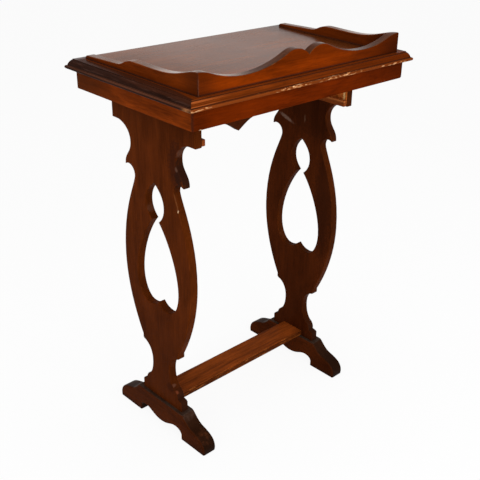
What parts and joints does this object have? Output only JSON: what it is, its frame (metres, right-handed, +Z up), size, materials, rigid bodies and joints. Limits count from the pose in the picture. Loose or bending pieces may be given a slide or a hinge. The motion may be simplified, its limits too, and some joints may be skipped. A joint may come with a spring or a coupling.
{
  "type": "book stand",
  "caption": "Small wooden trestle table for books: moulded top with a shaped gallery on three sides, pierced lyre-shaped panels, sledge feet and a flat stretcher.",
  "frame": {"origin": "on the floor under the middle of the top", "axes": "+X along the length, -Y towards the long side that carries the gallery, +Z up"},
  "size_m": [0.515, 0.321, 0.7405],
  "materials": {
    "mahogany_top": "polished, dark red-brown",
    "mahogany_gallery": "polished, warm red-brown",
    "mahogany_apron": "polished, warm red-brown",
    "mahogany_trestle": "polished, dark brown",
    "mahogany_stretcher": "worn polish, mid brown",
    "raw_pine": "raw",
    "beech": "raw",
    "screw_steel": "plain, slightly dull"
  },
  "bodies": {
    "root": {"top_board": "mahogany_top", "gallery_long": "mahogany_gallery", "gallery_end_left": "mahogany_gallery", "gallery_end_right": "mahogany_gallery", "apron_front": "mahogany_apron", "apron_rear": "mahogany_apron", "apron_left": "mahogany_apron", "apron_right": "mahogany_apron", "corner_block_front_left": "raw_pine", "corner_block_front_right": "raw_pine", "corner_block_rear_left": "raw_pine", "corner_block_rear_right": "raw_pine", "leg_left": "mahogany_trestle", "leg_right": "mahogany_trestle", "lath_left": "raw_pine", "lath_right": "raw_pine", "cleat_left": "raw_pine", "cleat_right": "raw_pine", "upper_rail": "mahogany_trestle", "stretcher": "mahogany_stretcher", "foot_left": "mahogany_trestle", "foot_right": "mahogany_trestle", "gallery_dowels": "beech", "foot_dowels": "beech", "stretcher_dowels": "beech", "rail_dowels": "beech", "cleat_screws": "screw_steel", "cleat_side_screws": "screw_steel", "lath_screws": "screw_steel"}
  },
  "joints": []
}
